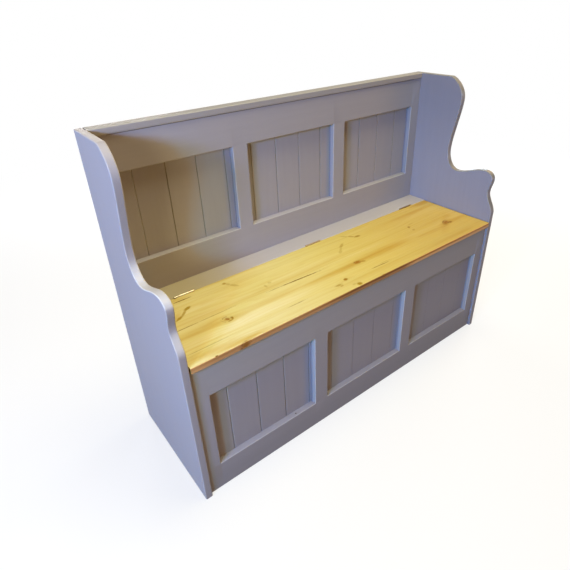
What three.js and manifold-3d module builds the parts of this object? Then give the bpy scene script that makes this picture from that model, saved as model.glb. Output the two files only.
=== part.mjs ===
// A settle bench: shaped ends, a tall panelled back, and a storage box whose pine lid is the seat.
// Millimetres, +Z up, and the front faces -Y. The origin is on the floor, in the middle of the
// length and of the depth over the lid.

import * as THREE from 'three';
import { mergeVertices } from 'three/addons/utils/BufferGeometryUtils.js';
import Module from 'manifold-3d';

const wasm = await Module();
wasm.setup();

// Whole bench
const benchLength = 1200;
const benchHeight = 908;
const seatHeight = 450;

// Clearances: between pieces that touch, between planks glued edge to edge, and past a cut's wood
const fitGap = 0.3;
const glueGap = 0.1;
const cutOverrun = 1;

// Ends
const endDepth = 384;
const endThickness = 20;
const endArris = 3;

// Matchboards that close the back and the front behind their frames
const boardCount = 13;
const edgeBoardExtra = 6.7;
const boardThickness = 8;
const boardChamfer = 1.8;
const tongueLength = 4;
const tongueThickness = 2.4;
const backBoardsShift = -9.4;
const boardsLift = 20;

// Parts that both frames share
const stileWidth = 40;
const muntinWidth = 48;
const tenonLength = 25;
const tenonShoulder = 12;
const tenonThickness = 6.5;

// Back frame, from below the seat up to the cap
const backFrameThickness = 20;
const backFrameDrop = 50;
const backLedgeHeight = 98.5;
const backTopRailHeight = 93;

// Cap along the top of the back
const capThickness = 17.4;
const capOverhang = 4;
const capArris = 3;

// Front frame, set back from the ends' front edges and up from the floor
const frontFrameThickness = 18;
const frontFrameSetback = 8;
const frontFrameLift = 2;
const frontBottomRailHeight = 88;
const frontTopRailHeight = 95.2;

// Fixed seat rail that carries the hinges
const seatRailWidth = 72;
const seatRailArris = 1.2;

// Lid
const lidThickness = 18;
const lidOverhang = 2;
const lidEndClearance = 2.5;
const lidArris = 2.5;
const middlePlankShare = 0.335;

// Battens under the lid
const battenWidth = 40;
const battenThickness = 18;
const battenChamfer = 8;
const battenRearInset = 28;
const battenFrontClearance = 12;
const battenPlaceShare = 0.33;

// Butt hinges in the joint between the seat rail and the lid
const hingeLength = 60;
const hingeJoint = 1.8;
const hingeLift = 1;
const knuckleRadius = 3;
const knuckleCount = 5;
const pinRadius = 1.3;
const pinClearance = 0.1;
const leafThickness = 1.2;
const leafHeight = 15.5;
const leafSpace = 0.4;
const hingePlaceShares = { left: -0.391, middle: 0.009, right: 0.404 };

// Floor of the box and the bearers that carry it
const floorThickness = 9;
const bearerHeight = 25;
const bearerDepth = 20;

// Fineness of curves
const outlineSegments = 12;
const arrisSegments = 4;
const roundSegments = 20;

// Places worked out from the sizes above. A depth is measured forward from the bench's rear face.
const innerLength = benchLength - 2 * endThickness;
const rearY = (endDepth + lidOverhang) / 2;
const backFrameRear = boardThickness + fitGap;
const backFrameFace = backFrameRear + backFrameThickness;
const frontFrameFace = endDepth - frontFrameSetback;
const frontBoardsRear = frontFrameFace - frontFrameThickness - fitGap - boardThickness;
const seatRailRear = backFrameFace + fitGap;
const seatRailFront = seatRailRear + seatRailWidth;
const lidRear = seatRailFront + hingeJoint;
const lidFront = endDepth + lidOverhang;
const lidDepth = lidFront - lidRear;
const lidLength = innerLength - 2 * lidEndClearance;
const lidUnderside = seatHeight - lidThickness;
const capUnderside = benchHeight - capThickness;
const hingeDepth = seatRailFront + hingeJoint / 2;
const hingeHeight = seatHeight + hingeLift;

// Materials
const paint = new THREE.MeshStandardMaterial({ color: '#9b98a2', roughness: 0.55, metalness: 0 });
const boardPaint = new THREE.MeshStandardMaterial({ color: '#94919b', roughness: 0.6, metalness: 0 });
const railPaint = new THREE.MeshStandardMaterial({ color: '#b4a795', roughness: 0.6, metalness: 0 });
const pine = new THREE.MeshStandardMaterial({ color: '#d9bd74', roughness: 0.4, metalness: 0 });
const rawPine = new THREE.MeshStandardMaterial({ color: '#c9ab77', roughness: 0.7, metalness: 0 });
const hingeMetal = new THREE.MeshStandardMaterial({ color: '#9a8455', roughness: 0.4, metalness: 1 });

const bench = new THREE.Group();
const carcass = new THREE.Group();
const lid = new THREE.Group();
bench.add(carcass, lid);

// The way a section drawn in depth and height runs along the bench
const alongLength = new THREE.Matrix4().makeBasis(
  new THREE.Vector3(0, 1, 0),
  new THREE.Vector3(0, 0, 1),
  new THREE.Vector3(1, 0, 0),
);

/** Adds a named piece to a group, at a place in the group. */
function addPiece(group, name, geometry, material, [x, y, z] = [0, 0, 0]) {
  const mesh = new THREE.Mesh(geometry, material);
  mesh.name = name;
  mesh.position.set(x, y, z);
  group.add(mesh);
}

/** A solid for cutting and joining, from a closed geometry. */
function solidOf(geometry) {
  const bare = geometry.clone();
  bare.deleteAttribute('normal');
  bare.deleteAttribute('uv');
  const merged = mergeVertices(bare);
  return new wasm.Manifold(new wasm.Mesh({
    numProp: 3,
    vertProperties: merged.getAttribute('position').array,
    triVerts: merged.getIndex().array,
  }));
}

/** The geometry of a solid. */
function geometryOf(solid) {
  const { vertProperties, triVerts } = solid.getMesh();
  const geometry = new THREE.BufferGeometry();
  geometry.setAttribute('position', new THREE.BufferAttribute(vertProperties, 3));
  geometry.setIndex(new THREE.BufferAttribute(triVerts, 1));
  geometry.computeVertexNormals();
  return geometry;
}

/** The geometry of a block between its lowest and highest corners. */
function blockGeometry(low, high) {
  const [x, y, z] = low.map((value, axis) => (value + high[axis]) / 2);
  const [length, depth, rise] = low.map((value, axis) => high[axis] - value);
  return new THREE.BoxGeometry(length, depth, rise).translate(x, y, z);
}

/** A block as a solid for cutting and joining. */
function block(low, high) {
  return solidOf(blockGeometry(low, high));
}

/** A round bar along the length, between two places on an axis through the origin. */
function roundBar(radius, start, end) {
  const bar = new THREE.CylinderGeometry(radius, radius, end - start, roundSegments);
  return solidOf(bar.rotateZ(-Math.PI / 2).translate((start + end) / 2, 0, 0));
}

/** A bar along the length, of a section drawn in Y and Z, centred on the bench's middle. */
function barAlong(shape, length) {
  const settings = { depth: length, bevelEnabled: false, curveSegments: arrisSegments };
  return new THREE.ExtrudeGeometry(shape, settings).translate(0, 0, -length / 2).applyMatrix4(alongLength);
}

/** A plank's section, whose front corners can be rounded: Y runs from zero at the rear to the front. */
function plankSection(width, thickness, topRound, bottomRound) {
  const shape = new THREE.Shape();
  shape.moveTo(0, 0);
  shape.lineTo(0, thickness);
  shape.lineTo(topRound - width, thickness);
  if (topRound > 0) {
    shape.absarc(topRound - width, thickness - topRound, topRound, Math.PI / 2, Math.PI, false);
  }
  shape.lineTo(-width, bottomRound);
  if (bottomRound > 0) {
    shape.absarc(bottomRound - width, bottomRound, bottomRound, Math.PI, Math.PI * 1.5, false);
  }
  shape.closePath();
  return shape;
}

// Shares of the end's outline: the first of each pair is of the end's depth, measured from its
// rear edge, and the second is of the height that the end rises above the seat.
const earTopShares = [0.396, 1];
const earCurveShares = [[0.43, 0.993], [0.534, 0.939], [0.534, 0.852]];
const throatCurveShares = [[0.534, 0.764], [0.464, 0.568], [0.464, 0.467]];
const scoopCurveShares = [[0.464, 0.393], [0.508, 0.325], [0.589, 0.325]];
const armCurveShares = [[0.682, 0.325], [0.768, 0.382], [0.865, 0.382]];
const noseTopCurveShares = [[0.917, 0.382], [0.953, 0.358], [0.953, 0.323]];
const noseCurveShares = [[0.953, 0.288], [0.932, 0.258], [0.932, 0.223]];
const shoulderCurveShares = [[0.932, 0.175], [1, 0.12], [1, 0.074]];

/** The outline of an end, drawn in Y from its rear edge forward and in Z from the floor. */
function endOutline() {
  const place = ([depthShare, riseShare]) => new THREE.Vector2(
    -depthShare * endDepth,
    seatHeight + riseShare * (benchHeight - seatHeight),
  );
  const outline = new THREE.Shape();
  outline.moveTo(0, 0);
  outline.lineTo(0, benchHeight);
  outline.lineTo(...place(earTopShares).toArray());
  const curves = [
    earCurveShares,
    throatCurveShares,
    scoopCurveShares,
    armCurveShares,
    noseTopCurveShares,
    noseCurveShares,
    shoulderCurveShares,
  ];
  for (const shares of curves) {
    const [first, second, end] = shares.map(place);
    outline.bezierCurveTo(first.x, first.y, second.x, second.y, end.x, end.y);
  }
  outline.lineTo(-endDepth, 0);
  outline.closePath();
  return outline;
}

/** The two shaped ends, with their arrises rounded. */
function addEnds() {
  const geometry = new THREE.ExtrudeGeometry(endOutline(), {
    depth: endThickness - 2 * endArris,
    curveSegments: outlineSegments,
    bevelThickness: endArris,
    bevelSize: endArris,
    bevelOffset: -endArris,
    bevelSegments: arrisSegments,
  });
  geometry.translate(0, 0, endArris - endThickness / 2).applyMatrix4(alongLength);
  const middle = (benchLength - endThickness) / 2;
  addPiece(carcass, 'left_end', geometry, paint, [-middle, rearY, 0]);
  addPiece(carcass, 'right_end', geometry.clone(), paint, [middle, rearY, 0]);
}

/** The section of one matchboard, from its rear face at zero to its front face, with its left edge at zero. */
function boardSection(width, hasGroove, hasTongue) {
  const grooveThickness = tongueThickness + 2 * fitGap;
  const grooveDepth = tongueLength + fitGap;
  const tongueFront = -(boardThickness + tongueThickness) / 2;
  const tongueRear = -(boardThickness - tongueThickness) / 2;
  const grooveFront = -(boardThickness + grooveThickness) / 2;
  const grooveRear = -(boardThickness - grooveThickness) / 2;
  const chamferRear = boardChamfer - boardThickness;
  const points = [[boardChamfer, -boardThickness], [width - boardChamfer, -boardThickness], [width, chamferRear]];
  if (hasTongue) {
    points.push([width, tongueFront], [width + tongueLength, tongueFront]);
    points.push([width + tongueLength, tongueRear], [width, tongueRear]);
  }
  points.push([width, 0], [0, 0]);
  if (hasGroove) {
    points.push([0, grooveRear], [grooveDepth, grooveRear], [grooveDepth, grooveFront], [0, grooveFront]);
  }
  points.push([0, chamferRear]);
  return new THREE.Shape(points.map(([x, y]) => new THREE.Vector2(x, y)));
}

/** A row of matchboards between the ends, tongued and grooved into each other. */
function addBoards(prefix, shift, rearDepth, boardsTop) {
  const pitch = (innerLength - 2 * edgeBoardExtra) / boardCount;
  const joint = (index) => shift + pitch * (index - boardCount / 2);
  for (let index = 0; index < boardCount; index += 1) {
    const isFirst = index === 0;
    const isLast = index === boardCount - 1;
    const left = isFirst ? fitGap - innerLength / 2 : joint(index) + fitGap / 2;
    const right = isLast ? innerLength / 2 - fitGap : joint(index + 1) - fitGap / 2;
    const section = boardSection(right - left, !isFirst, !isLast);
    const geometry = new THREE.ExtrudeGeometry(section, { depth: boardsTop - boardsLift, bevelEnabled: false });
    const name = `${prefix}_board_${String(index + 1).padStart(2, '0')}`;
    addPiece(carcass, name, geometry, boardPaint, [left, rearY - rearDepth, boardsLift]);
  }
}

/**
 * A panelled frame of two stiles, two rails and two muntins, joined by mortise and tenon.
 * Its own origin is at its foot, on its rear face, in the middle of its length.
 */
function addFrame(prefix, { thickness, frameHeight, topRailHeight, bottomRailHeight, rearDepth, lift }) {
  const frame = new THREE.Group();
  frame.position.set(0, rearY - rearDepth, lift);
  carcass.add(frame);

  const frameEnd = innerLength / 2 - fitGap;
  const shoulder = frameEnd - stileWidth - fitGap;
  const openingLength = (innerLength - 2 * stileWidth - 2 * muntinWidth) / 3;
  const muntinMiddle = (openingLength + muntinWidth) / 2;
  const topRailFoot = frameHeight - topRailHeight;
  const tongueBack = -(thickness - tenonThickness) / 2;
  const tongueFace = -(thickness + tenonThickness) / 2;

  const tenonAlong = (from, to, foot, top) => block(
    [from, tongueFace, foot + tenonShoulder],
    [to, tongueBack, top - tenonShoulder],
  );
  const mortiseAlong = (from, to, foot, top) => block(
    [from, tongueFace - fitGap, foot + tenonShoulder - fitGap],
    [to, tongueBack + fitGap, top - tenonShoulder + fitGap],
  );
  const upright = (x, foot, top, grow) => block(
    [x - muntinWidth / 2 + tenonShoulder - grow, tongueFace - grow, foot],
    [x + muntinWidth / 2 - tenonShoulder + grow, tongueBack + grow, top],
  );

  const railEnd = shoulder + tenonLength;
  const railSolid = (foot, top) => block([-shoulder, -thickness, foot], [shoulder, 0, top])
    .add(tenonAlong(-railEnd, -shoulder + cutOverrun, foot, top))
    .add(tenonAlong(shoulder - cutOverrun, railEnd, foot, top));

  const muntinFoot = bottomRailHeight + fitGap;
  const muntinTop = topRailFoot - fitGap;
  const mortiseDepth = tenonLength + 2 * fitGap;
  let bottomRail = railSolid(0, bottomRailHeight);
  let topRail = railSolid(topRailFoot, frameHeight);
  for (const x of [-muntinMiddle, muntinMiddle]) {
    bottomRail = bottomRail.subtract(
      upright(x, muntinFoot - mortiseDepth, bottomRailHeight + cutOverrun, fitGap),
    );
    topRail = topRail.subtract(upright(x, topRailFoot - cutOverrun, muntinTop + mortiseDepth, fitGap));
  }
  addPiece(frame, `${prefix}_bottom_rail`, geometryOf(bottomRail), paint);
  addPiece(frame, `${prefix}_top_rail`, geometryOf(topRail), paint);

  for (const [side, name] of [[-1, 'left'], [1, 'right']]) {
    const span = (near, far) => [Math.min(side * near, side * far), Math.max(side * near, side * far)];
    const [stileStart, stileEnd] = span(frameEnd - stileWidth, frameEnd);
    const [mortiseStart, mortiseEnd] = span(shoulder - cutOverrun, railEnd + fitGap);
    const stile = block([stileStart, -thickness, 0], [stileEnd, 0, frameHeight])
      .subtract(mortiseAlong(mortiseStart, mortiseEnd, 0, bottomRailHeight))
      .subtract(mortiseAlong(mortiseStart, mortiseEnd, topRailFoot, frameHeight));
    addPiece(frame, `${prefix}_${name}_stile`, geometryOf(stile), paint);

    const middle = side * muntinMiddle;
    const muntin = block(
      [middle - muntinWidth / 2, -thickness, muntinFoot],
      [middle + muntinWidth / 2, 0, muntinTop],
    )
      .add(upright(middle, muntinFoot - tenonLength, muntinFoot + cutOverrun, 0))
      .add(upright(middle, muntinTop - cutOverrun, muntinTop + tenonLength, 0));
    addPiece(frame, `${prefix}_${name}_muntin`, geometryOf(muntin), paint);
  }
}

/** The back: its frame, its matchboards and the cap that covers both. */
function addBack() {
  const lift = seatHeight - backFrameDrop;
  addFrame('back', {
    thickness: backFrameThickness,
    frameHeight: capUnderside - fitGap - lift,
    topRailHeight: backTopRailHeight,
    bottomRailHeight: backFrameDrop + backLedgeHeight,
    rearDepth: backFrameRear,
    lift,
  });
  addBoards('back', backBoardsShift, 0, capUnderside - fitGap);
  const capSection = plankSection(backFrameFace + capOverhang, capThickness, capArris, capArris);
  const cap = barAlong(capSection, innerLength - 2 * fitGap);
  addPiece(carcass, 'back_cap', cap, paint, [0, rearY, capUnderside]);
}

/** The front of the box: its frame and its matchboards. */
function addFront() {
  addFrame('front', {
    thickness: frontFrameThickness,
    frameHeight: lidUnderside - fitGap - frontFrameLift,
    topRailHeight: frontTopRailHeight,
    bottomRailHeight: frontBottomRailHeight,
    rearDepth: frontFrameFace - frontFrameThickness,
    lift: frontFrameLift,
  });
  addBoards('front', 0, frontBoardsRear, lidUnderside - fitGap);
}

/** The floor of the box on its two bearers. */
function addFloor() {
  const halfLength = innerLength / 2 - fitGap;
  const boxRear = boardThickness + fitGap;
  const boxFront = frontBoardsRear - fitGap;
  const addBearer = (name, rearDepth) => addPiece(
    carcass,
    name,
    blockGeometry([-halfLength, -bearerDepth, 0], [halfLength, 0, bearerHeight]),
    rawPine,
    [0, rearY - rearDepth, boardsLift],
  );
  addBearer('floor_bearer_back', boxRear);
  addBearer('floor_bearer_front', boxFront - bearerDepth);
  const floor = blockGeometry([-halfLength, boxRear - boxFront, 0], [halfLength, 0, floorThickness]);
  addPiece(carcass, 'box_floor', floor, rawPine, [0, rearY - boxRear, boardsLift + bearerHeight + fitGap]);
}

/** The room that a hinge needs in the edges of the seat rail and of the lid, around its pin. */
function hingeHousing(middle) {
  const start = middle - hingeLength / 2 - fitGap;
  const end = middle + hingeLength / 2 + fitGap;
  const reach = leafSpace / 2 + leafThickness + fitGap;
  return roundBar(knuckleRadius + fitGap, start, end)
    .add(block([start, -reach, -leafHeight - fitGap], [end, reach, 0]));
}

/** A bar with the three hinge housings cut, where the bar's own origin is at a depth and a height. */
function cutHousings(geometry, rearDepth, foot) {
  let solid = solidOf(geometry);
  for (const share of Object.values(hingePlaceShares)) {
    const housing = hingeHousing(share * lidLength);
    solid = solid.subtract(housing.translate([0, rearDepth - hingeDepth, hingeHeight - foot]));
  }
  return geometryOf(solid);
}

/** The fixed rail behind the lid. */
function addSeatRail() {
  const section = plankSection(seatRailWidth, lidThickness, seatRailArris, 0);
  const rail = cutHousings(barAlong(section, innerLength - 2 * fitGap), seatRailRear, lidUnderside);
  addPiece(carcass, 'seat_rail', rail, railPaint, [0, rearY - seatRailRear, lidUnderside]);
}

/** The planks of the lid, glued edge to edge, and the battens that hold them flat. */
function addLid() {
  const middlePlank = middlePlankShare * lidDepth;
  const outerPlank = (lidDepth - 2 * middlePlank - 3 * glueGap) / 2;
  const planks = [
    ['lid_plank_rear', outerPlank, 0],
    ['lid_plank_inner_rear', middlePlank, 0],
    ['lid_plank_inner_front', middlePlank, 0],
    ['lid_plank_front', outerPlank, lidArris],
  ];
  let rearDepth = lidRear;
  for (const [name, width, arris] of planks) {
    let geometry = barAlong(plankSection(width, lidThickness, arris, arris), lidLength);
    if (rearDepth === lidRear) {
      geometry = cutHousings(geometry, rearDepth, lidUnderside);
    }
    addPiece(lid, name, geometry, pine, [0, rearY - rearDepth, lidUnderside]);
    rearDepth += width + glueGap;
  }

  const battenRear = lidRear + battenRearInset;
  const battenLength = frontBoardsRear - battenFrontClearance - battenRear;
  const section = new THREE.Shape();
  section.moveTo(0, 0);
  section.lineTo(0, -battenThickness + battenChamfer);
  section.lineTo(-battenChamfer, -battenThickness);
  section.lineTo(battenChamfer - battenLength, -battenThickness);
  section.lineTo(-battenLength, -battenThickness + battenChamfer);
  section.lineTo(-battenLength, 0);
  section.closePath();
  for (const [side, name] of [[-1, 'left'], [1, 'right']]) {
    const x = side * battenPlaceShare * lidLength;
    const place = [x, rearY - battenRear, lidUnderside - fitGap];
    addPiece(lid, `lid_batten_${name}`, barAlong(section, battenWidth), pine, place);
  }
}

/** One leaf of a hinge with its share of the knuckles, around a pin along the length at the origin. */
function hingeLeaf(side, firstKnuckle) {
  const near = side * (leafSpace / 2);
  const far = side * (leafSpace / 2 + leafThickness);
  const [low, high] = [Math.min(near, far), Math.max(near, far)];
  const plateTop = -knuckleRadius - fitGap;
  const knuckleLength = hingeLength / knuckleCount;
  let leaf = block([-hingeLength / 2, low, -leafHeight], [hingeLength / 2, high, plateTop]);
  for (let index = firstKnuckle; index < knuckleCount; index += 2) {
    const start = -hingeLength / 2 + index * knuckleLength + (index > 0 ? fitGap / 2 : 0);
    const end = -hingeLength / 2 + (index + 1) * knuckleLength - (index < knuckleCount - 1 ? fitGap / 2 : 0);
    leaf = leaf.add(roundBar(knuckleRadius, start, end));
    leaf = leaf.add(block([start, low, plateTop - fitGap], [end, high, 0]));
  }
  const bore = roundBar(pinRadius + pinClearance, -hingeLength, hingeLength);
  return geometryOf(leaf.subtract(bore));
}

/** The three hinges: a leaf on the seat rail, a leaf on the lid and the pin through both. */
function addHinges() {
  for (const [name, share] of Object.entries(hingePlaceShares)) {
    const place = [share * lidLength, rearY - hingeDepth, hingeHeight];
    const pin = new THREE.CylinderGeometry(pinRadius, pinRadius, hingeLength, roundSegments);
    addPiece(carcass, `hinge_${name}_fixed_leaf`, hingeLeaf(1, 0), hingeMetal, place);
    addPiece(carcass, `hinge_${name}_pin`, pin.rotateZ(-Math.PI / 2), hingeMetal, place);
    addPiece(lid, `hinge_${name}_moving_leaf`, hingeLeaf(-1, 1), hingeMetal, place);
  }
}

addEnds();
addBack();
addFront();
addFloor();
addSeatRail();
addLid();
addHinges();

export default bench;
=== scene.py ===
"""The looks of a settle bench: painted shaped ends and matchboards, and a waxed pine lid."""

import logging
import math
from collections.abc import Callable, Iterator, Sequence
from contextlib import contextmanager
from dataclasses import dataclass, field
from enum import Enum
from functools import partial, reduce

import bpy
from mathutils import Matrix, Vector


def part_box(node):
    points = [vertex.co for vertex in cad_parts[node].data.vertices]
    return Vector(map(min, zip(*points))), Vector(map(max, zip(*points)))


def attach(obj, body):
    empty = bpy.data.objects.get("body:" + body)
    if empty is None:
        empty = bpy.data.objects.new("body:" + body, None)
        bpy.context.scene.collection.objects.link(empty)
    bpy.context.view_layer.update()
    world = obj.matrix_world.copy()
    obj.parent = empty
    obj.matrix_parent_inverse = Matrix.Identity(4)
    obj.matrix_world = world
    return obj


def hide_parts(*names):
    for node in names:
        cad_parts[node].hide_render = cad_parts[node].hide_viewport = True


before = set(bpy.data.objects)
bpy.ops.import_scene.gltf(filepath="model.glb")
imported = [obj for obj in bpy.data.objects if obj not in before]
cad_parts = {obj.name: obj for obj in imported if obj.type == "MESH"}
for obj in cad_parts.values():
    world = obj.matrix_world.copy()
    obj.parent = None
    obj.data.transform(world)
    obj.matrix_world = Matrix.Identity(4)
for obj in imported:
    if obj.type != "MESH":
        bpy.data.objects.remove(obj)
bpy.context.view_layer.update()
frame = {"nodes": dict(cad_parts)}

LOG = logging.getLogger("settle_bench")
MM = 0.001
MERGE_REACH = 0.01 * MM
FLAT_TURN = math.radians(0.5)
SMOOTH_TURN = math.radians(38.0)
VECTOR_SOCKETS = ("Vector", "Normal", "Stretch", "Place", "Turn", "Reach")

Colour = tuple[float, float, float]
Span = tuple[float, float]
Ramp = tuple[float, float, float, float]
Socket = bpy.types.NodeSocket
Tree = bpy.types.NodeTree
Piece = bpy.types.Object
Test = Callable[[Vector, Vector], bool]


class Body(Enum):
    """The bench's two moving groups."""

    CARCASS = "carcass"
    LID = "lid"


class Grain(Enum):
    """Which way the brush ran on a piece, as the stretch of a pattern on each axis."""

    ALONG_LENGTH = (1.0, 14.0, 14.0)
    UPRIGHT = (14.0, 14.0, 1.0)


class Facing(Enum):
    """Which faces a tint lies on: an axis of the normal, and the span over which the tint comes in."""

    ALL = None
    LEFT = ("X", -0.5, -0.8)
    UP = ("Z", 0.15, 0.5)
    NOT_REAR = ("Y", 0.6, 0.2)


class Graph:
    """Places and links the nodes of one material, world or node group."""

    def __init__(self, tree: Tree) -> None:
        """Keeps the node tree to work on."""
        self.tree = tree

    def feed(self, socket: Socket, value: object) -> None:
        """Links a socket to another or gives it a plain value.

        Args:
            socket: The input socket.
            value: An output socket, a number, a colour or a vector.
        """
        if isinstance(value, Socket):
            self.tree.links.new(value, socket)
        elif socket.type == "RGBA" and len(value) == 3:
            socket.default_value = (*value, 1.0)
        else:
            socket.default_value = value

    def add(self, kind: str, inputs: dict | None = None, **settings: object) -> bpy.types.Node:
        """Adds a node.

        Args:
            kind: The node's type name, past the words ShaderNode.
            inputs: What each input socket gets, by socket name or number.
            **settings: The node's own properties.

        Returns:
            The new node.
        """
        node = self.tree.nodes.new(f"ShaderNode{kind}")
        for name, value in settings.items():
            setattr(node, name, value)
        for key, value in (inputs or {}).items():
            self.feed(node.inputs[key], value)
        return node

    def math(self, operation: str, *values: object) -> Socket:
        """Gives what a number node makes of its values."""
        return self.add("Math", dict(enumerate(values)), operation=operation).outputs[0]

    def times(self, *factors: object) -> Socket:
        """Multiplies numbers."""
        return reduce(partial(self.math, "MULTIPLY"), factors)

    def minus(self, value: object, less: object) -> Socket:
        """Takes one number from another."""
        return self.math("SUBTRACT", value, less)

    def vector(self, operation: str, *values: object) -> Socket:
        """Gives the vector that a vector node makes of its values."""
        return self.add("VectorMath", dict(enumerate(values)), operation=operation).outputs["Vector"]

    def stretched(self, vector: Socket, stretch: Sequence[float] | Socket) -> Socket:
        """Scales a place on each axis."""
        return self.vector("MULTIPLY", vector, stretch)

    def length(self, vector: Socket, stretch: Sequence[float] = (1.0, 1.0, 1.0)) -> Socket:
        """Measures a vector, once it is scaled on each axis."""
        scaled = {0: self.stretched(vector, stretch)}
        return self.add("VectorMath", scaled, operation="LENGTH").outputs["Value"]

    def parts(self, vector: Socket) -> dict[str, Socket]:
        """Splits a vector into X, Y and Z."""
        return self.add("SeparateXYZ", {"Vector": vector}).outputs

    def joined(self, **parts: object) -> Socket:
        """Joins X, Y and Z into a vector."""
        return self.add("CombineXYZ", parts).outputs["Vector"]

    def noise(self, vector: Socket, scale: float, detail: float = 2.0, distortion: float = 0.0) -> Socket:
        """Gives a noise pattern around 0.5, by its features in a metre, its finer layers and its warp."""
        inputs = {"Vector": vector, "Scale": scale, "Detail": detail, "Distortion": distortion}
        return self.add("TexNoise", inputs).outputs["Fac"]

    def blend(self, factor: object, low: object, high: object, kind: str = "MIX") -> Socket:
        """Mixes two colours by a factor, in one of the mix node's ways."""
        inputs = {0: factor, 6: low, 7: high}
        return self.add("Mix", inputs, data_type="RGBA", blend_type=kind).outputs[2]

    def tint(self, amount: object, colour: object, tint: object) -> Socket:
        """Multiplies a colour by a tint, as far as the amount says."""
        return self.blend(amount, colour, tint, "MULTIPLY")

    def smooth(self, value: object, start: float, end: float, low: float = 0.0, high: float = 1.0) -> Socket:
        """Turns a number smoothly from the low to the high level, between a start and an end."""
        inputs = {"Value": value, 1: start, 2: end, 3: low, 4: high}
        return self.add("MapRange", inputs, interpolation_type="SMOOTHSTEP").outputs[0]

    def group(self, tree: Tree, inputs: dict[str, object]) -> dict[str, Socket]:
        """Places a node group and gives its outputs."""
        return self.add("Group", inputs, node_tree=tree).outputs


class Effect(Graph):
    """The nodes of one effect that several finishes share."""

    def __init__(self, name: str, inputs: Sequence[str], outputs: Sequence[str]) -> None:
        """Starts the node group.

        Args:
            name: The group's name.
            inputs: The names of its input sockets.
            outputs: The names of its output sockets.
        """
        super().__init__(bpy.data.node_groups.new(name, "ShaderNodeTree"))
        for way, sockets in (("INPUT", inputs), ("OUTPUT", outputs)):
            for socket in sockets:
                kind = "NodeSocketVector" if socket in VECTOR_SOCKETS else "NodeSocketFloat"
                self.tree.interface.new_socket(name=socket, in_out=way, socket_type=kind)
        self.given = self.tree.nodes.new("NodeGroupInput").outputs
        self.result = self.tree.nodes.new("NodeGroupOutput").inputs

    def give(self, *values: Socket) -> Tree:
        """Joins what the group puts out.

        Args:
            *values: The outputs, in order.

        Returns:
            The group's tree.
        """
        for socket, value in zip(self.result, values):
            self.feed(socket, value)
        return self.tree

    def seen_from_mark(self) -> Socket:
        """Looks at the place from a mark's middle, turned along it and in shares of its reach.

        Returns:
            The place as the mark has it.
        """
        inputs = zip(("Vector", "Location", "Rotation", "Scale"), ("Vector", "Place", "Turn", "Reach"))
        inputs = {socket: self.given[name] for socket, name in inputs}
        return self.add("Mapping", inputs, vector_type="TEXTURE").outputs["Vector"]


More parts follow.
